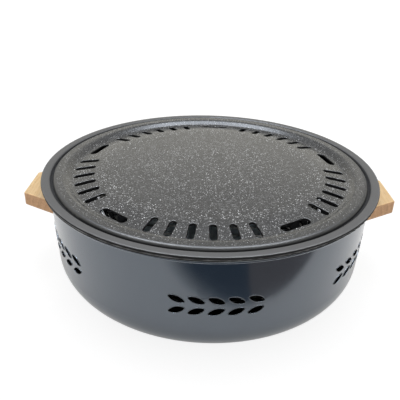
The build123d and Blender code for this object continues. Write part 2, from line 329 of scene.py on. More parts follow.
@dataclass(frozen=True)
class Flecks(Effect):
    """Scattered flecks of uneven shape, each with a tone of its own."""

    wobble_scale: float = 900.0
    wobble_detail: float = 1.0
    wobble_reach: float = 0.7 * MM
    least_size: float = 0.25
    edge_blur: float = 0.06

    def fill(self, tree: Tree, source: Sockets, target: Sockets) -> None:
        """Draw a wobbly disc in some of the cells of a pattern.

        Args:
            tree: The group's tree.
            source: Scale, Size and Amount.
            target: Mask and Tone.
        """
        place = tree.place()
        wobble = tree.noise(place, self.wobble_scale, self.wobble_detail)
        moved = tree.stray(place, wobble.outputs["Color"], self.wobble_reach)
        cells = tree.add("TexVoronoi", {"Vector": moved, "Scale": source["Scale"]})
        chances = tree.add("SeparateColor", {0: cells.outputs["Color"]}).outputs
        radius = tree.math("MULTIPLY", source["Size"], tree.math("ADD", chances[0], self.least_size))
        inside = tree.math("SUBTRACT", radius, cells.outputs["Distance"])
        disc = tree.span(inside, (0.0, self.edge_blur))
        chosen = tree.math("LESS_THAN", chances[1], source["Amount"])
        tree.feed(target["Mask"], tree.math("MULTIPLY", disc, chosen))
        tree.feed(target["Tone"], chances[2])


@dataclass(frozen=True)
class Grain(Effect):
    """Fine unevenness of a coat or a casting."""

    detail: float = 3.0

    def fill(self, tree: Tree, source: Sockets, target: Sockets) -> None:
        """Give a noise as a height.

        Args:
            tree: The group's tree.
            source: Scale.
            target: Height.
        """
        noise = tree.noise(tree.place(), source["Scale"], self.detail)
        tree.feed(target["Height"], noise.outputs["Fac"])


@dataclass(frozen=True)
class Turning(Effect):
    """Fine rings that spinning and brushing leave round the axis."""

    twist: float = 0.002
    detail: float = 2.0

    def fill(self, tree: Tree, source: Sockets, target: Sockets) -> None:
        """Give a noise that is drawn out round the axis as a height.

        Args:
            tree: The group's tree.
            source: Scale.
            target: Height.
        """
        parts = tree.parts(tree.place())
        turn = tree.math("MULTIPLY", tree.math("ARCTAN2", parts[1], parts[0]), self.twist)
        spot = tree.add("CombineXYZ", {0: tree.from_axis(parts), 1: turn, 2: parts[2]})
        rings = tree.noise(spot.outputs[0], source["Scale"], self.detail)
        tree.feed(target["Height"], rings.outputs["Fac"])


@dataclass(frozen=True)
class Inside(Effect):
    """What lies nearer the axis than a radius."""

    def fill(self, tree: Tree, source: Sockets, target: Sockets) -> None:
        """Mask a round area.

        Args:
            tree: The group's tree.
            source: Radius and Blur.
            target: Mask.
        """
        distance = tree.from_axis(tree.parts(tree.place()))
        depth = tree.math("DIVIDE", tree.math("SUBTRACT", source["Radius"], distance), source["Blur"])
        tree.feed(target["Mask"], tree.span(depth))


@dataclass(frozen=True)
class Band(Effect):
    """Broken-up band round the axis at one radius."""

    break_scale: float = 60.0
    break_detail: float = 4.0
    break_reach: Span = (0.35, 0.65)

    def fill(self, tree: Tree, source: Sockets, target: Sockets) -> None:
        """Mask a round band where a noise lets it through.

        Args:
            tree: The group's tree.
            source: Radius and Width.
            target: Mask.
        """
        place = tree.place()
        distance = tree.from_axis(tree.parts(place))
        away = tree.math("ABSOLUTE", tree.math("SUBTRACT", distance, source["Radius"]))
        near = tree.math("SUBTRACT", 1.0, tree.math("DIVIDE", away, source["Width"]), clamp=True)
        noise = tree.noise(place, self.break_scale, self.break_detail)
        broken = tree.span(noise.outputs["Fac"], self.break_reach)
        tree.feed(target["Mask"], tree.math("MULTIPLY", near, broken))


MOTTLING = Mottling("mottling", {"First": Kind.COLOUR, "Second": Kind.COLOUR, "Scale": Kind.NUMBER},
                    {"Color": Kind.COLOUR, "Mask": Kind.NUMBER})
FLECKS = Flecks("flecks", {"Scale": Kind.NUMBER, "Size": Kind.NUMBER, "Amount": Kind.NUMBER},
                {"Mask": Kind.NUMBER, "Tone": Kind.NUMBER})
GRAIN = Grain("grain", {"Scale": Kind.NUMBER}, {"Height": Kind.NUMBER})
TURNING = Turning("turning", {"Scale": Kind.NUMBER}, {"Height": Kind.NUMBER})
INSIDE = Inside("inside", {"Radius": Kind.NUMBER, "Blur": Kind.NUMBER}, {"Mask": Kind.NUMBER})
BAND = Band("band", {"Radius": Kind.NUMBER, "Width": Kind.NUMBER}, {"Mask": Kind.NUMBER})


@dataclass(frozen=True)
class Relief:
    """Fine relief: how fine its pattern is, how strongly it shows and how high it stands, in metres."""

    scale: float
    strength: float
    height: float


class Paint(Tree):
    """Nodes of one material, round its Principled BSDF shader."""

    def __init__(self, material: bpy.types.Material) -> None:
        """Work on an existing material."""
        super().__init__(material.node_tree)
        self.shader = material.node_tree.nodes["Principled BSDF"]

    def give(self, **values: Value) -> None:
        """Feed the shader's own sockets.

        Args:
            **values: Another node's output or a constant, by the socket's name with underscores.
        """
        for name, value in values.items():
            self.feed(self.shader.inputs[name.replace("_", " ")], value)

    def given(self, name: str) -> Socket:
        """What already feeds one of the shader's sockets."""
        return self.shader.inputs[name].links[0].from_socket

    def bump(self, height: Socket, relief: Relief) -> None:
        """Raise and lower the surface.

        Args:
            height: The height's socket, from 0 to 1.
            relief: How strongly it shows, and how high a height of 1 stands.
        """
        settings = {"Height": height, "Strength": relief.strength, "Distance": relief.height}
        self.give(Normal=self.add("Bump", settings).outputs[0])


@dataclass(frozen=True)
class Zone:
    """Round zone about the axis, with the width of its soft edge."""

    radius: float
    blur: float

    def mask(self, tree: Tree) -> Socket:
        """What lies inside the zone."""
        return INSIDE.use(tree, radius=self.radius, blur=self.blur).outputs["Mask"]


@dataclass(frozen=True)
class Finish:
    """What every finish has: a name, and the record's material slot that it belongs to."""

    name: str
    slot: Slot

    def shade(self, tree: Paint) -> None:
        """Feed the shader's sockets. Each kind of finish has its own.

        Args:
            tree: The material's nodes.
        """
        raise NotImplementedError

    def material(self) -> bpy.types.Material:
        """Give the finish's material, building it if it isn't there.

        Returns:
            The material.
        """
        found = bpy.data.materials.get(self.name)
        if found is None:
            found = bpy.data.materials.new(self.name)
            found.use_nodes = True
            self.shade(Paint(found))
        return found

    def dress(self, piece: bpy.types.Object) -> None:
        """Put the finish on a piece.

        Args:
            piece: The piece to dress.
        """
        if not piece.material_slots:
            piece.data.materials.append(None)
        for place in piece.material_slots:
            place.material = self.material()


@dataclass(frozen=True)
class FleckLayer:
    """One size of fleck: how fine, how large in its cell, in how many cells, and how strong."""

    scale: float
    size: float
    amount: float
    strength: float


@dataclass(frozen=True)
class StoneCoating(Finish):
    """Non-stick coat of the plate: dark grey with pale flecks, painted shade on steep edges and slot walls,
    and bare below.
    """

    dark: Colour = (0.015, 0.0155, 0.016)
    light: Colour = (0.024, 0.0245, 0.024)
    fleck: Colour = (0.95, 0.96, 0.98)
    # Near-black colour of the painted shade on steep edges and slot walls.
    painted_shade: Colour = (0.008, 0.008, 0.009)
    bare: Colour = (0.72, 0.73, 0.74)
    cloud_scale: float = 30.0
    layers: tuple[FleckLayer, ...] = (
        FleckLayer(1300.0, 0.4, 0.5, 0.45),
        FleckLayer(780.0, 0.34, 0.5, 1.0),
        FleckLayer(560.0, 0.26, 0.26, 1.0),
    )
    tone_power: float = 0.7
    face: Zone = Zone(0.1555, 0.002)
    unrubbed: Zone = Zone(0.147, 0.012)
    rubbed_share: float = 0.45
    steep_slope: Span = (0.25, 0.7)
    bare_slope: Span = (0.3, 0.5)
    grain: Relief = Relief(700.0, 0.08, 0.0003)
    roughness: Span = (0.22, 0.3)
    rim_dulling: float = 1.5
    steep_dulling: float = 0.2
    refraction: float = 1.5

    def shade(self, tree: Paint) -> None:
        """Lay flecks over mottled grey, with painted shade on steep walls, a fine grain, a duller rim and a
        bare underside.

        Args:
            tree: The material's nodes.
        """
        clouds = MOTTLING.use(tree, first=self.dark, second=self.light, scale=self.cloud_scale)
        base = clouds.outputs["Color"]
        face = self.face.mask(tree)
        fresh = tree.span(self.unrubbed.mask(tree), to=(self.rubbed_share, 1.0))
        cover = tree.math("MULTIPLY", face, fresh)
        for layer in self.layers:
            spots = FLECKS.use(tree, scale=layer.scale, size=layer.size, amount=layer.amount).outputs
            tone = tree.math("MULTIPLY", tree.math("POWER", spots["Tone"], self.tone_power), layer.strength)
            shown = tree.math("MULTIPLY", spots["Mask"], tree.math("MULTIPLY", tone, cover))
            base = tree.blend(shown, base, self.fleck)
        upwards = tree.facing(Axis.Z)
        steep = tree.math("SUBTRACT", 1.0, tree.span(upwards, self.steep_slope))
        below = tree.span(tree.math("MULTIPLY", upwards, -1.0), self.bare_slope)
        # Steep edges and slot walls are painted near black: painted shade, where the slots keep the light off
        # them.
        coat = tree.blend(steep, base, self.painted_shade)
        tree.give(Base_Color=tree.blend(below, coat, self.bare), Metallic=below)
        grain = GRAIN.use(tree, scale=self.grain.scale).outputs["Height"]
        satin = tree.span(grain, NOISE_REACH, self.roughness)
        rimmed = tree.math("MULTIPLY", satin, tree.span(face, to=(self.rim_dulling, 1.0)))
        dulled = tree.math("ADD", rimmed, tree.math("MULTIPLY", steep, self.steep_dulling))
        tree.give(Roughness=dulled, IOR=self.refraction)
        tree.bump(grain, self.grain)


@dataclass(frozen=True)
class CloudyFinish(Finish):
    """Two close colours in soft clouds, which also vary the gloss, over a fine grain."""

    first: Colour
    second: Colour
    cloud_scale: float
    roughness: Span
    grain: Relief
    metallic: float = 0.0

    def shade(self, tree: Paint) -> None:
        """Mottle the colour and the gloss together.

        Args:
            tree: The material's nodes.
        """
        clouds = MOTTLING.use(tree, first=self.first, second=self.second, scale=self.cloud_scale).outputs
        gloss = tree.span(clouds["Mask"], to=self.roughness)
        tree.give(Base_Color=clouds["Color"], Roughness=gloss, Metallic=self.metallic)
        tree.bump(GRAIN.use(tree, scale=self.grain.scale).outputs["Height"], self.grain)


@dataclass(frozen=True)
class GlossEnamel(CloudyFinish):
    """Blue-grey metallic enamel of the shell, glossy, with a faint orange peel."""

    first: Colour = (0.104, 0.124, 0.149)
    second: Colour = (0.114, 0.135, 0.161)
    cloud_scale: float = 14.0
    roughness: Span = (0.16, 0.2)
    grain: Relief = Relief(240.0, 0.03, 0.0002)
    metallic: float = 1.0
    coat_roughness: float = 0.05
    coat_refraction: float = 1.7

    def shade(self, tree: Paint) -> None:
        """Put a clear coat over the barely mottled colour.

        Args:
            tree: The material's nodes.
        """
        super().shade(tree)
        tree.give(Coat_Weight=1.0, Coat_Roughness=self.coat_roughness, Coat_IOR=self.coat_refraction)


@dataclass(frozen=True)
class FootRubber(CloudyFinish):
    """Black rubber, slightly dusty, with a moulded grain."""

    first: Colour = (0.016, 0.016, 0.017)
    second: Colour = (0.032, 0.032, 0.033)
    cloud_scale: float = 90.0
    roughness: Span = (0.6, 0.75)
    grain: Relief = Relief(1200.0, 0.3, 0.0003)


@dataclass(frozen=True)
class ZincPlate(CloudyFinish):
    """Zinc plate of the fasteners, with the cloudy spangle that it has."""

    first: Colour = (0.5, 0.51, 0.52)
    second: Colour = (0.68, 0.69, 0.7)
    cloud_scale: float = 260.0
    roughness: Span = (0.25, 0.42)
    grain: Relief = Relief(900.0, 0.15, 0.0001)
    metallic: float = 1.0


@dataclass(frozen=True)
class SatinEnamel(Finish):
    """Dark grey satin enamel with a pale band at its edge, partly rubbed wear and partly painted highlight,
    and painted shade inside a radius and on downward-facing surfaces.
    """

    first: Colour = (0.062, 0.062, 0.063)
    second: Colour = (0.07, 0.07, 0.071)
    # Colour of the pale edge band: partly rubbed wear, partly painted highlight.
    wear_and_highlight: Colour = (0.16, 0.16, 0.16)
    # Near-black colour of the painted shade.
    painted_shade: Colour = (0.004, 0.004, 0.004)
    cloud_scale: float = 24.0
    edge_radius: float = 0.1685
    edge_width: float = 0.0012
    wear_and_highlight_share: float = 0.5
    # Everything inside this radius is painted shade.
    painted_shade_zone: Zone = Zone(0.1613, 0.0008)
    lit_slope: Span = (0.45, 0.75)
    grain: Relief = Relief(900.0, 0.08, 0.0002)
    roughness: Span = (0.42, 0.5)
    painted_shade_dulling: float = 0.6
    refraction: float = 1.47

    def shade(self, tree: Paint) -> None:
        """Give mottled grey a pale edge band (wear and painted highlight), painted shade inside and below,
        and a fine grain.

        Args:
            tree: The material's nodes.
        """
        clouds = MOTTLING.use(tree, first=self.first, second=self.second, scale=self.cloud_scale)
        # The pale band at the edge radius is partly rubbed wear and partly a painted highlight along the lit
        # top of the rolled edge.
        edge_line = BAND.use(tree, radius=self.edge_radius, width=self.edge_width).outputs["Mask"]
        unshaded = tree.blend(tree.math("MULTIPLY", edge_line, self.wear_and_highlight_share), clouds.outputs["Color"], self.wear_and_highlight)
        # Downward-facing surfaces and the inner zone are painted near black: painted shade under the rolled
        # edges, in the gaps and beside the plate's rim.
        under = tree.math("SUBTRACT", 1.0, tree.span(tree.facing(Axis.Z), self.lit_slope))
        dark = tree.math("MAXIMUM", self.painted_shade_zone.mask(tree), under)
        tree.give(Base_Color=tree.blend(dark, unshaded, self.painted_shade))
        grain = GRAIN.use(tree, scale=self.grain.scale).outputs["Height"]
        satin = tree.span(grain, NOISE_REACH, self.roughness)
        dulled = tree.math("ADD", satin, tree.math("MULTIPLY", dark, self.painted_shade_dulling))
        tree.give(Roughness=dulled, IOR=self.refraction)
        tree.bump(grain, self.grain)


@dataclass(frozen=True)
class SheetSteel(Finish):
    """Bare steel sheet, spun or brushed round the axis."""

    first: Colour = (0.5, 0.5, 0.5)
    second: Colour = (0.6, 0.6, 0.6)
    roughness: Span = (0.2, 0.36)
    metallic: float = 1.0
    cloud_scale: float = 30.0
    rings: Relief = Relief(1500.0, 0.15, 0.0001)

    def shade(self, tree: Paint) -> None:
        """Turn fine rings into mottled metal.

        Args:
            tree: The material's nodes.
        """
        clouds = MOTTLING.use(tree, first=self.first, second=self.second, scale=self.cloud_scale)
        rings = TURNING.use(tree, scale=self.rings.scale).outputs["Height"]
        gloss = tree.span(rings, NOISE_REACH, self.roughness)
        tree.give(Base_Color=clouds.outputs["Color"], Roughness=gloss, Metallic=self.metallic)
        tree.bump(rings, self.rings)


@dataclass(frozen=True)
class ScorchedAndShadedSteel(SheetSteel):
    """Steel sheet blackened away from its middle: partly heat tint, partly painted shade on the outer grate
    under the plate.
    """

    # Colour of the outer zone: partly heat tint, partly painted shade.
    scorch_and_shade: Colour = (0.02, 0.022, 0.028)
    middle: Zone = Zone(0.088, 0.016)

    def shade(self, tree: Paint) -> None:
        """Blacken the outer zone of the metal: partly heat tint, partly painted shade.

        Args:
            tree: The material's nodes.
        """
        super().shade(tree)
        # The outer zone is darkened: partly heat tint, partly painted shade where the grate lies in shadow
        # under the plate.
        darkened = tree.blend(self.middle.mask(tree), self.scorch_and_shade, tree.given("Base Color"))
        tree.give(Base_Color=darkened)


@dataclass(frozen=True)
class RimmedSteel(SheetSteel):
    """Steel sheet whose rolled rim is brushed matt and pale."""

    rim: Colour = (1.0, 1.0, 1.0)
    bowl: Zone = Zone(0.1148, 0.001)
    rim_roughness: float = 0.62

    def shade(self, tree: Paint) -> None:
        """Brush the rim round the turned bowl.

        Args:
            tree: The material's nodes.
        """
        super().shade(tree)
        bowl = self.bowl.mask(tree)
        pale = tree.blend(bowl, self.rim, tree.given("Base Color"))
        brushed = tree.span(bowl, to=(self.rim_roughness, 0.0))
        tree.give(Base_Color=pale, Roughness=tree.math("MAXIMUM", tree.given("Roughness"), brushed))


@dataclass(frozen=True)
class BeechWood(Finish):
    """Light beech with year rings along the handle, browner end grain, dark flecks and a thin varnish."""

    early: Colour = (0.88, 0.62, 0.31)
    late: Colour = (0.76, 0.48, 0.2)
    end_early: Colour = (0.68, 0.4, 0.2)
    end_late: Colour = (0.5, 0.26, 0.12)
    pore: Colour = (0.34, 0.2, 0.09)
    stretch: Place = (1.0, 0.12, 1.0)
    bend_scale: float = 22.0
    bend_detail: float = 2.0
    bend_reach: float = 0.012
    heart: Place = (0.05, 0.0, -0.03)
    ring_scale: float = 42.0
    ring_distortion: float = 1.5
    ring_detail: float = 2.0
    ring_share: float = 0.5
    streaks: Relief = Relief(420.0, 0.12, 0.0003)
    streak_detail: float = 3.0
    streak_share: float = 0.5
    end_facing: Span = (0.45, 0.75)
    pore_scale: float = 1100.0
    pore_detail: float = 1.0
    pore_reach: Span = (0.62, 0.72)
    pore_share: float = 0.45
    roughness: Span = (0.4, 0.55)
    varnish: float = 0.12
    varnish_roughness: float = 0.3

    def shade(self, tree: Paint) -> None:
        """Lay year rings round a far axis along Y, with streaks and pores drawn out along the grain.

        Args:
            tree: The material's nodes.
        """
        drawn = tree.add("Mapping", {"Vector": tree.place(), "Scale": self.stretch}).outputs[0]
        bends = tree.noise(drawn, self.bend_scale, self.bend_detail)
        bent = tree.stray(drawn, bends.outputs["Color"], self.bend_reach)
        centred = tree.add("Mapping", {"Vector": bent, "Location": self.heart}).outputs[0]
        wave = {"Vector": centred, "Scale": self.ring_scale, "Distortion": self.ring_distortion,
                "Detail": self.ring_detail}
        rings = tree.add("TexWave", wave, wave_type="RINGS", rings_direction="Y", wave_profile="SAW")
        streak = tree.noise(drawn, self.streaks.scale, self.streak_detail).outputs["Fac"]
        tone = tree.math("ADD", tree.math("MULTIPLY", rings.outputs["Fac"], self.ring_share),
                         tree.span(streak, NOISE_REACH, (0.0, self.streak_share)))
        long_grain = tree.blend(tone, self.early, self.late)
        end_grain = tree.blend(tone, self.end_early, self.end_late)
        is_end = tree.span(tree.math("ABSOLUTE", tree.facing(Axis.Y)), self.end_facing)
        base = tree.blend(is_end, long_grain, end_grain)
        pores = tree.noise(drawn, self.pore_scale, self.pore_detail).outputs["Fac"]
        pits = tree.span(pores, self.pore_reach)
        shown = tree.math("MULTIPLY", pits, self.pore_share)
        tree.give(Base_Color=tree.blend(shown, base, self.pore))
        tree.give(Roughness=tree.span(streak, NOISE_REACH, self.roughness))
        tree.bump(tree.math("SUBTRACT", streak, pits), self.streaks)
        tree.give(Coat_Weight=self.varnish, Coat_Roughness=self.varnish_roughness)


PLATE_COAT = StoneCoating("stone_coating", Slot.PLATE_COATING)
SHELL_ENAMEL = GlossEnamel("blue_grey_enamel", Slot.SHELL_PAINT)
RING_ENAMEL = SatinEnamel("dark_grey_enamel", Slot.RING_PAINT)
# The tray's pale edge band is a painted highlight on its bead. The tray also carries painted shade inside its
# radius and on its undersides.
TRAY_ENAMEL = SatinEnamel(
    "black_tray_enamel", Slot.RING_PAINT, first=grey(0.05), second=grey(0.06), wear_and_highlight=grey(0.4),
    edge_radius=0.1681, painted_shade_zone=Zone(0.152, 0.0008), lit_slope=(0.15, 0.35), refraction=1.35)
PLAIN_STEEL = SheetSteel("plain_steel_sheet", Slot.PLAIN_STEEL)
BASIN_STEEL = RimmedSteel(
    "bright_stainless_sheet", Slot.BASIN_STEEL, first=(0.62, 0.62, 0.61), second=(0.72, 0.72, 0.71),
    roughness=(0.12, 0.24))
GRATE_STEEL = ScorchedAndShadedSteel(
    "pressed_grey_steel", Slot.GRATE_STEEL, first=(0.7, 0.8, 0.86), second=(0.8, 0.88, 0.92),
    roughness=(0.5, 0.65), metallic=0.35)
HANDLE_BEECH = BeechWood("light_beech", Slot.HANDLE_WOOD)
FOOT_BLACK = FootRubber("black_rubber", Slot.FOOT_RUBBER)
FASTENER_ZINC = ZincPlate("zinc_plate", Slot.ZINC_STEEL)


@dataclass
class CarriedNodes:
    """CAD pieces whose shape stays and which only take a finish."""

    nodes: dict[str, bpy.types.Object]
    finishes: tuple[tuple[Finish, tuple[str, ...]], ...] = (
        (SHELL_ENAMEL, ("body_shell",)),
        (PLAIN_STEEL, ("heat_shield",)),
        (TRAY_ENAMEL, ("drip_tray",)),
        (BASIN_STEEL, ("charcoal_basin",)),
        (GRATE_STEEL, ("charcoal_grate",)),
        (RING_ENAMEL, ("support_ring",)),
        (PLATE_COAT, ("grill_plate",)),
        (HANDLE_BEECH, ("handle_left", "handle_right")),
        (FOOT_BLACK, ("foot_front_left", "foot_front_right", "foot_back_right", "foot_back_left")),
        (FASTENER_ZINC, ("foot_screws", "shield_spacers", "shield_nuts",
                         "handle_screws_left", "handle_screws_right",
                         "handle_washers_left", "handle_washers_right")),
    )

    def dress(self) -> None:
        """Give each node its finish."""
        for finish, names in self.finishes:
            for name in names:
                finish.dress(self.nodes[name])
                LOG.info("dressed %s in %s", name, finish.name)


def arc(centre: Point, radius: float, start: float, end: float, steps: int) -> list[Point]:
    """Give points on an arc.

    Args:
        centre: The arc's centre.
        radius: Its radius.
        start: Angle of the first point, in degrees.
        end: Angle of the last point, in degrees.
        steps: Number of steps between them.

    Returns:
        The points.
    """
    turns = (math.radians(start + (end - start) * step / steps) for step in range(steps + 1))
    return [(centre[0] + radius * math.cos(turn), centre[1] + radius * math.sin(turn)) for turn in turns]


def full_turn(steps: int) -> list[float]:
    """Even steps round a full turn, in radians."""
    return [2 * math.pi * step / steps for step in range(steps)]


def spot(place: float, radius: float, height: float) -> Vector:
    """Give a spot round the grill.

    Args:
        place: Angle from the front, towards the right handle, in degrees.
        radius: Distance from the axis.
        height: Height above the table.

    Returns:
        The spot.
    """
    turn = math.radians(place)
    return Vector((radius * math.sin(turn), -radius * math.cos(turn), height))


def wall_frame(place: float, radius: float, height: float) -> Matrix:
    """Give the frame of a spot on an upright wall.

    Args:
        place: Angle from the front, towards the right handle, in degrees.
        radius: Distance from the axis.
        height: Height above the table.

    Returns:
        A matrix with X along the wall, Y up and Z outwards.
    """
    outwards = spot(place, 1.0, 0.0)
    sideways = Vector((-outwards.y, outwards.x, 0.0))
    turned = Matrix((sideways, Vector((0.0, 0.0, 1.0)), outwards)).transposed().to_4x4()
    return Matrix.Translation(outwards * radius + Vector((0.0, 0.0, height))) @ turned


def skin(shape: bmesh.types.BMesh, rings: Sequence[Sequence[bmesh.types.BMVert]], closed: bool) -> None:
    """Join each ring of points to the next one with faces.

    Args:
        shape: The mesh that holds the rings.
        rings: Rings of the same number of points. A ring of one point repeated is a tip.
        closed: Whether the last ring joins the first.
    """
    pairs = list(zip(rings, rings[1:])) + ([(rings[-1], rings[0])] if closed else [])
    for lower, upper in pairs:
        for step in range(len(lower)):
            after = (step + 1) % len(lower)
            corners = (lower[step], lower[after], upper[after], upper[step])
            shape.faces.new(list(dict.fromkeys(corners)))


def finish_mesh(shape: bmesh.types.BMesh, name: str, outwards: bool = True) -> bpy.types.Mesh:
    """Turn a shape into a mesh.

    Args:
        shape: The shape, which is used up.
        name: The mesh's name.
        outwards: Whether its faces are turned outwards first.

    Returns:
        The mesh.
    """
    if outwards:
        bmesh.ops.recalc_face_normals(shape, faces=shape.faces)
    mesh = bpy.data.meshes.new(name)
    shape.to_mesh(mesh)
    shape.free()
    return mesh


def lathe(name: str, profile: Sequence[Point], segments: int, closed: bool) -> bpy.types.Mesh:
    """Turn a profile round the Z axis into a mesh.

    Args:
        name: The mesh's name.
        profile: Radius and height of each point.
        segments: Number of steps round the axis.
        closed: Whether the last point joins the first.

    Returns:
        The mesh, centred on the axis.
    """
    shape = bmesh.new()
    rings = []
    for radius, height in profile:
        if radius == 0.0:
            rings.append([shape.verts.new((0.0, 0.0, height))] * segments)
        else:
            rings.append([shape.verts.new((radius * math.cos(turn), radius * math.sin(turn), height))
                          for turn in full_turn(segments)])
    skin(shape, rings, closed)
    return finish_mesh(shape, name)


def link(name: str, content: bpy.types.ID) -> bpy.types.Object:
    """Put a mesh, a lamp or a camera into the scene.

    Args:
        name: The object's name.
        content: What it holds.

    Returns:
        The object.
    """
    new = bpy.data.objects.new(name, content)
    bpy.context.scene.collection.objects.link(new)
    return new


def add_piece(name: str, mesh: bpy.types.Mesh, body: str, finish: Finish, sharp: float) -> bpy.types.Object:
    """Put a mesh into the scene as a piece of the grill.

    Args:
        name: The piece's name.
        mesh: Its mesh, already in place.
        body: The CAD body that it moves with.
        finish: Its finish.
        sharp: Edges that turn by more than this angle, in degrees, stay sharp.

    Returns:
        The piece.
    """
    mesh.shade_smooth()
    mesh.set_sharp_from_angle(angle=math.radians(sharp))
    piece = link(name, mesh)
    finish.dress(piece)
    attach(piece, body)
    LOG.info("built %s", name)
    return piece


@dataclass
class LeafLips:
    """Rolled lips round the shell's leaf vents, where the press folded the sheet's edge over.

    Tilt, column step and places are degrees, and the wall's two points are a radius and a height.
    """

    length: float = 15.4 * MM
    width: float = 6.2 * MM
    tip_round: float = 1.0 * MM
    tilt: float = 20.3
    columns: int = 5
    column_step: float = 5.87
    row_spacing: float = 11.4 * MM
    middle: float = 65.2 * MM
    places: tuple[float, ...] = (2.1, 58.0, 120.7, 182.1, 238.0, 300.7)
    wall_bottom: Point = (158.6 * MM, 6.0 * MM)
    wall_top: Point = (162.0 * MM, 110.8 * MM)
    lip_radius: float = 0.35 * MM
    lip_outset: float = 0.35 * MM
    lip_sides: int = 8
    side_steps: int = 20
    tip_steps: int = 4
    sharp: float = 80.0

    def wall_radius(self, height: float) -> float:
        """Outer radius of the shell's wall at a height."""
        share = (height - self.wall_bottom[1]) / (self.wall_top[1] - self.wall_bottom[1])
        return self.wall_bottom[0] + share * (self.wall_top[0] - self.wall_bottom[0])

    def outline(self) -> list[Point]:
        """Give the level leaf's outline, moved outwards by the lip's outset.

        Returns:
            Points round the leaf.
        """
        big = (self.length ** 2 / 4 + self.width ** 2 / 4) / self.width
        drop = big - self.width / 2
        tip = math.sqrt((big - self.tip_round) ** 2 - drop ** 2)
        lean = math.degrees(math.atan2(drop, tip))
        side = arc((0.0, -drop), big + self.lip_outset, 180.0 - lean, lean, self.side_steps)
        end = arc((tip, 0.0), self.tip_round + self.lip_outset, lean, -lean, self.tip_steps)
        half = side[1:-1] + end
        return half + [(-x, -y) for x, y in half]

    def spine(self, place: float, height: float, tilt: float) -> list[Vector]:
        """Lay one leaf's outline on the wall.

        Args:
            place: The leaf's angle from the front, in degrees.
            height: Height of its middle.
            tilt: Its turn in the wall, in degrees.

        Returns:
            Points round the leaf.
        """
        frame = wall_frame(place, 0.0, 0.0)
        cosine, sine = math.cos(math.radians(tilt)), math.sin(math.radians(tilt))
        spots = []
        for x, y in self.outline():
            along, up = x * cosine - y * sine, x * sine + y * cosine
            depth = math.sqrt(self.wall_radius(height + up) ** 2 - along ** 2)
            spots.append(frame @ Vector((along, height + up, depth)))
        return spots

    def sweep(self, shape: bmesh.types.BMesh, spine: list[Vector]) -> None:
        """Add one leaf's lip.

        Args:
            shape: The mesh to add to.
            spine: Points round the leaf.
        """
        rings = []
        for number, middle in enumerate(spine):
            ahead = (spine[(number + 1) % len(spine)] - spine[number - 1]).normalized()
            outwards = Vector((middle.x, middle.y, 0.0)).normalized()
            across = ahead.cross(outwards).normalized()
            ways = (math.cos(turn) * outwards + math.sin(turn) * across for turn in full_turn(self.lip_sides))
            rings.append([shape.verts.new(middle + self.lip_radius * way) for way in ways])
        skin(shape, rings, True)

    def build(self) -> None:
        """Sweep a small round section along every leaf's outline."""
        shape = bmesh.new()
        for group_place in self.places:
            for column in range(self.columns):
                place = group_place + (column - (self.columns - 1) / 2) * self.column_step
                for side in (1, -1):
                    height = self.middle + side * self.row_spacing / 2
                    self.sweep(shape, self.spine(place, height, -side * self.tilt))
        add_piece("leaf_lips", finish_mesh(shape, "leaf_lips"), "body", SHELL_ENAMEL, self.sharp)


@dataclass
class PanScrews:
    """Pan-head screws with a cross recess and a turned thread."""

    node: str
    seats: Sequence[Matrix]
    shank_length: float
    head_radius: float = 3.8 * MM
    head_height: float = 2.2 * MM
    head_steps: int = 6
    shank_radius: float = 2.0 * MM
    thread_pitch: float = 0.7 * MM
    thread_depth: float = 0.25 * MM
    recess_reach: float = 2.1 * MM
    recess_width: float = 0.95 * MM
    recess_depth: float = 1.3 * MM
    recess_taper: float = 0.5
    segments: int = 40
    sharp: float = 30.0

    def profile(self) -> list[Point]:
        """Give the screw's section, from the top of its head to the end of its thread.

        Returns:
            Radius and height of each point, with the head below the origin.
        """
        edge = self.head_height / 2
        root = self.shank_radius - self.thread_depth
        points = [(0.0, -self.head_height)]
        points += arc((self.head_radius - edge, edge - self.head_height), edge, -90.0, 0.0, self.head_steps)
        points += [(self.head_radius, 0.0), (self.shank_radius, 0.0)]
        for turn in range(int(self.shank_length / self.thread_pitch) - 1):
            crest = (turn + 1) * self.thread_pitch
            points += [(root, crest - self.thread_pitch / 2), (self.shank_radius, crest)]
        return points + [(root, self.shank_length), (0.0, self.shank_length)]

    def punch(self) -> bpy.types.Mesh:
        """Make the tapered cross that presses the recess.

        Returns:
            The cross's mesh.
        """
        shape = bmesh.new()
        wide, narrow = self.recess_reach, self.recess_taper * self.recess_reach
        half = self.recess_width / 2
        rings = []
        for depth, reach in ((-self.recess_depth, wide), (0.0, wide), (self.recess_depth, narrow)):
            cross = ((half, half), (half, reach), (-half, reach), (-half, half), (-reach, half),
                     (-reach, -half), (-half, -half), (-half, -reach), (half, -reach), (half, -half),
                     (reach, -half), (reach, half))
            rings.append([shape.verts.new((x, y, depth - self.head_height)) for x, y in cross])
        shape.faces.new(rings[0])
        shape.faces.new(list(reversed(rings[-1])))
        skin(shape, rings, False)
        return finish_mesh(shape, "recess_punch")

    def screw(self) -> bpy.types.Mesh:
        """Turn one screw and cut its cross recess.

        Returns:
            The screw's mesh.
        """
        blank = link(self.node + "_blank", lathe(self.node + "_blank", self.profile(), self.segments, False))
        cutter = link(self.node + "_punch", self.punch())
        recess = blank.modifiers.new("recess", "BOOLEAN")
        recess.operation, recess.object, recess.solver = "DIFFERENCE", cutter, "EXACT"
        graph = bpy.context.evaluated_depsgraph_get()
        cut = bpy.data.meshes.new_from_object(blank.evaluated_get(graph))
        for helper in (blank, cutter):
            bpy.data.objects.remove(helper)
        return cut

    def build(self) -> None:
        """Set a screw in every seat, as one piece that stands for the CAD node."""
        single = self.screw()
        shape = bmesh.new()
        for seat in self.seats:
            placed = single.copy()
            placed.transform(seat)
            shape.from_mesh(placed)
            bpy.data.meshes.remove(placed)
        name = self.node + "_turned"
        piece = add_piece(name, finish_mesh(shape, name, outwards=False), "body", FASTENER_ZINC, self.sharp)
        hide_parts(self.node)


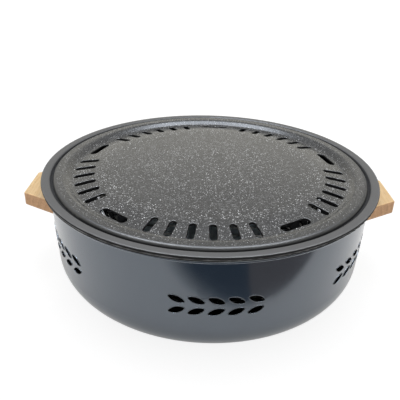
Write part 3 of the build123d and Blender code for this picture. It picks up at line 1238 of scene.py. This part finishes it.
@dataclass
class RubberFoot:
    """One moulded foot with a ribbed side, a tread ring and a recess for its screw."""

    node: str
    place: float
    spread: float
    height: float = 6.0 * MM
    top_radius: float = 11.0 * MM
    bottom_radius: float = 9.5 * MM
    recess_radius: float = 4.5 * MM
    recess_depth: float = 3.2 * MM
    hole_radius: float = 2.2 * MM
    edge: float = 0.8 * MM
    small_steps: int = 3
    large_steps: int = 5
    rib_count: int = 4
    rib_groove: Span = (0.25, 0.75)
    rib_depth: float = 0.25 * MM
    tread_depth: float = 0.5 * MM
    segments: int = 64
    sharp: float = 40.0

    def profile(self) -> list[Point]:
        """Give the foot's section, from the screw's hole round to it again.

        Returns:
            Radius and height of each point.
        """
        fine = self.edge / 2
        points = [(self.hole_radius, self.height), (self.hole_radius, self.recess_depth),
                  (self.recess_radius, self.recess_depth), (self.recess_radius, fine)]
        points += arc((self.recess_radius + fine, fine), fine, 180.0, 270.0, self.small_steps)
        middle = (self.recess_radius + self.bottom_radius) / 2
        points += [(middle - self.edge, 0.0), (middle - fine, self.tread_depth),
                   (middle + fine, self.tread_depth), (middle + self.edge, 0.0)]
        points += arc((self.bottom_radius - self.edge, self.edge), self.edge, -90.0, 0.0, self.large_steps)
        rise = self.height - 2 * self.edge
        slope = self.top_radius - self.bottom_radius
        start, end = self.rib_groove
        for rib in range(self.rib_count):
            for share, depth in ((start, self.rib_depth), (end, self.rib_depth), (1.0, 0.0)):
                up = (rib + share) / self.rib_count
                points.append((self.bottom_radius + slope * up - depth, self.edge + rise * up))
        return points + arc((self.top_radius - fine, self.height - fine), fine, 0.0, 90.0, self.small_steps)

    def build(self) -> None:
        """Turn the foot and set it under the shell."""
        name = self.node + "_moulded"
        mesh = lathe(name, self.profile(), self.segments, True)
        mesh.transform(Matrix.Translation(spot(self.place, self.spread, 0.0)))
        piece = add_piece(name, mesh, "body", FOOT_BLACK, self.sharp)
        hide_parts(self.node)


@dataclass
class FeetAndScrews:
    """The feet and every screw of the grill."""

    foot_places: dict[str, float] = field(default_factory=lambda: {
        "front_left": -45.0, "front_right": 45.0, "back_right": 135.0, "back_left": 225.0})
    foot_spread: float = 92.0 * MM
    foot_seat: float = 3.2 * MM
    foot_shank: float = 19.3 * MM
    handle_places: dict[str, float] = field(default_factory=lambda: {"right": 90.0, "left": -90.0})
    handle_half_angle: float = 6.41
    handle_seat_radius: float = 158.96 * MM
    handle_seat_height: float = 88.0 * MM
    handle_shank: float = 19.0 * MM

    def build(self) -> None:
        """Make the feet, their screws and the handles' screws."""
        seats = []
        for name, place in self.foot_places.items():
            RubberFoot("foot_" + name, place, self.foot_spread).build()
            seats.append(Matrix.Translation(spot(place, self.foot_spread, self.foot_seat)))
        PanScrews("foot_screws", seats, self.foot_shank).build()
        for side, place in self.handle_places.items():
            seats = [wall_frame(place + turn, self.handle_seat_radius, self.handle_seat_height)
                     for turn in (self.handle_half_angle, -self.handle_half_angle)]
            PanScrews("handle_screws_" + side, seats, self.handle_shank).build()


def seen_directly(tree: Tree) -> Socket:
    """Mask the rays that see the surroundings themselves.

    Args:
        tree: The tree that needs the mask.

    Returns:
        A socket that is 1 for camera, glossy and transmission rays.
    """
    rays = tree.add("LightPath").outputs
    either = tree.math("MAXIMUM", rays["Is Camera Ray"], rays["Is Glossy Ray"])
    return tree.math("MAXIMUM", either, rays["Is Transmission Ray"])


@dataclass(frozen=True)
class Floor:
    """Pale round floor that keeps a soft shadow and fades to white further away."""

    radius: float = 4.0
    sides: int = 96
    tone: float = 0.78
    roughness: float = 0.9
    white_reach: Span = (0.3, 1.2)
    white_share: Span = (0.7, 1.0)
    white_strength: float = 1.22
    mirrored_share: float = 0.22

    def build(self) -> None:
        """Lay the floor under the grill."""
        shape = bmesh.new()
        bmesh.ops.create_circle(shape, cap_ends=True, segments=self.sides, radius=self.radius)
        floor = link("floor", finish_mesh(shape, "floor", outwards=False))
        floor.data.materials.append(self.paint())

    def paint(self) -> bpy.types.Material:
        """Make the floor's paint.

        Returns:
            The material.
        """
        paint = bpy.data.materials.new("white_floor")
        paint.use_nodes = True
        tree = Paint(paint)
        tree.give(Base_Color=grey(self.tone), Roughness=self.roughness, Specular_IOR_Level=0.0)
        glow = tree.add("Emission", {"Color": grey(1.0), "Strength": self.white_strength})
        distance = tree.add("VectorMath", {0: tree.place()}, operation="LENGTH").outputs["Value"]
        white = tree.span(distance, self.white_reach, self.white_share)
        camera_ray = tree.add("LightPath").outputs["Is Camera Ray"]
        mirrored = tree.math("MULTIPLY", seen_directly(tree), self.mirrored_share)
        share = tree.math("MULTIPLY", tree.math("MAXIMUM", camera_ray, mirrored), white)
        mixed = tree.add("MixShader", {0: share, 1: tree.shader.outputs[0], 2: glow.outputs[0]})
        tree.feed(paint.node_tree.nodes["Material Output"].inputs["Surface"], mixed.outputs[0])
        return paint


@dataclass(frozen=True)
class Surroundings:
    """World that looks white, with a warm horizon in gloss, and lights the grill softly."""

    ambient: float = 0.7
    horizon_tint: Colour = (1.07, 1.045, 0.955)
    horizon_rise: Span = (0.3, 0.6)

    def build(self) -> None:
        """Make the world."""
        world = bpy.data.worlds.new("white_surroundings")
        world.use_nodes = True
        tree = Tree(world.node_tree)
        rise = tree.parts(tree.add("TexCoord").outputs["Generated"])[Axis.Z.value]
        low = tree.math("SUBTRACT", 1.0, tree.span(rise, self.horizon_rise))
        warm = tree.math("MULTIPLY", low, tree.add("LightPath").outputs["Is Glossy Ray"])
        seen = tree.blend(warm, grey(1.0), self.horizon_tint)
        bright = tree.add("Background", {"Color": seen, "Strength": 1.0})
        soft = tree.add("Background", {"Color": grey(1.0), "Strength": self.ambient})
        mixed = tree.add("MixShader", {0: seen_directly(tree), 1: soft.outputs[0], 2: bright.outputs[0]})
        tree.feed(world.node_tree.nodes["World Output"].inputs["Surface"], mixed.outputs[0])
        bpy.context.scene.world = world


@dataclass(frozen=True)
class Softbox:
    """One flat rectangular lamp that shines straight down."""

    name: str
    width: float
    depth: float
    place: Place
    power: float
    tint: Colour
    mirrored: bool

    def build(self) -> None:
        """Hang the lamp. A mirrored one only shows in gloss, any other one only lights the surfaces."""
        lamp = bpy.data.lights.new(self.name, "AREA")
        lamp.shape = "RECTANGLE"
        lamp.size = self.width
        lamp.size_y = self.depth
        lamp.energy = self.power
        lamp.color = self.tint
        box = link(self.name, lamp)
        box.location = self.place
        box.visible_diffuse = not self.mirrored
        box.visible_glossy = self.mirrored


@dataclass(frozen=True)
class CardEdge:
    """Soft edge of the dark card: a point on it, the way into the card and the width of the blur."""

    start: Point
    way: Point
    blur: float


@dataclass(frozen=True)
class DarkCard:
    """Dark card in front of the grill that only shows as a reflection in the shell's gloss."""

    height: float = 0.001
    corners: tuple[Point, ...] = ((-0.4, -0.7), (0.6, -0.7), (0.6, -0.05), (-0.4, -0.2))
    left: Colour = (0.08, 0.11, 0.15)
    right: Colour = (0.21, 0.2, 0.21)
    split_slope: float = 0.335
    split_blur: float = 0.006
    edges: tuple[CardEdge, ...] = (
        CardEdge((0.005, -0.232), (0.493, -0.87), 0.03),
        CardEdge((0.054, -0.222), (0.292, -0.956), 0.007),
    )
    hidden_from: tuple[str, ...] = ("camera", "diffuse", "transmission", "volume_scatter", "shadow")

    def build(self) -> None:
        """Lay the card on the floor."""
        shape = bmesh.new()
        shape.faces.new([shape.verts.new((x, y, self.height)) for x, y in self.corners])
        flag = link("flag", finish_mesh(shape, "flag", outwards=False))
        for ray in self.hidden_from:
            setattr(flag, "visible_" + ray, False)
        flag.data.materials.append(self.paint())

    def paint(self) -> bpy.types.Material:
        """Make the card's paint: two dark tones that fade out at its edges.

        Returns:
            The material.
        """
        card = bpy.data.materials.new("dark_card")
        card.use_nodes = True
        card.node_tree.nodes.remove(card.node_tree.nodes["Principled BSDF"])
        tree = Tree(card.node_tree)
        parts = tree.parts(tree.place())
        side = tree.math("ADD", parts[0], tree.math("MULTIPLY", parts[1], self.split_slope))
        tone = tree.blend(tree.span(side, (-self.split_blur, self.split_blur)), self.left, self.right)
        cover = 1.0
        for edge in self.edges:
            beyond = tree.math("ADD", tree.math("MULTIPLY", parts[0], edge.way[0]),
                               tree.math("MULTIPLY", parts[1], edge.way[1]))
            start = edge.start[0] * edge.way[0] + edge.start[1] * edge.way[1]
            cover = tree.math("MULTIPLY", cover, tree.span(beyond, (start - edge.blur, start + edge.blur)))
        paint = tree.add("Emission", {"Color": tone, "Strength": 1.0})
        clear = tree.add("BsdfTransparent")
        mixed = tree.add("MixShader", {0: cover, 1: clear.outputs[0], 2: paint.outputs[0]})
        tree.feed(card.node_tree.nodes["Material Output"].inputs["Surface"], mixed.outputs[0])
        return card


@dataclass(frozen=True)
class Camera:
    """Camera where the photograph was taken from. Its angles are degrees, its lens and sensor millimetres."""

    place: Place = (-0.00952, -0.47672, 0.32629)
    pitch: float = 27.508
    roll: float = 1.368
    lens: float = 44.911
    sensor_width: float = 36.0
    clip_start: float = 0.01

    def build(self) -> None:
        """Set up the camera and make it the scene's."""
        lens = bpy.data.cameras.new("camera")
        lens.lens = self.lens
        lens.sensor_width = self.sensor_width
        lens.clip_start = self.clip_start
        camera = link("camera", lens)
        tilt = Matrix.Rotation(math.radians(90.0 - self.pitch), 4, "X")
        roll = Matrix.Rotation(math.radians(self.roll), 4, "Z")
        camera.matrix_world = Matrix.Translation(Vector(self.place)) @ tilt @ roll
        bpy.context.scene.camera = camera


@dataclass(frozen=True)
class Studio:
    """Everything round the grill: floor, surroundings, lamps, dark card and camera."""

    floor: Floor = Floor()
    surroundings: Surroundings = Surroundings()
    softboxes: tuple[Softbox, ...] = (
        Softbox("softbox", 0.6, 0.5, (0.0, 0.0, 1.3), 4.9, (0.96, 0.98, 1.0), False),
        Softbox("back_strip", 1.5, 0.26, (0.0, 0.17, 1.1), 14.5, (0.82, 0.89, 1.0), True),
        Softbox("left_strip", 0.5, 0.24, (-0.45, -0.1, 1.1), 9.0, (0.92, 0.95, 1.0), True),
        Softbox("right_strip", 0.5, 0.24, (0.45, -0.1, 1.1), 6.0, (0.92, 0.95, 1.0), True),
        Softbox("front_strip", 1.3, 0.15, (0.0, -0.28, 1.1), 9.0, (0.88, 0.93, 1.0), True),
    )
    card: DarkCard = DarkCard()
    camera: Camera = Camera()

    def build(self) -> None:
        """Set up each part of the studio in turn."""
        for part in (self.floor, self.surroundings, *self.softboxes, self.card, self.camera):
            part.build()
            LOG.info("set up %s", type(part).__name__)


def main() -> None:
    """Build the grill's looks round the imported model, piece by piece."""
    logging.basicConfig(level=logging.INFO, format="%(message)s")
    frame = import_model()
    bpy.context.scene.view_settings.view_transform = "Standard"
    CarriedNodes(frame["nodes"]).dress()
    LeafLips().build()
    FeetAndScrews().build()
    Studio().build()


if __name__ == "__main__":
    main()
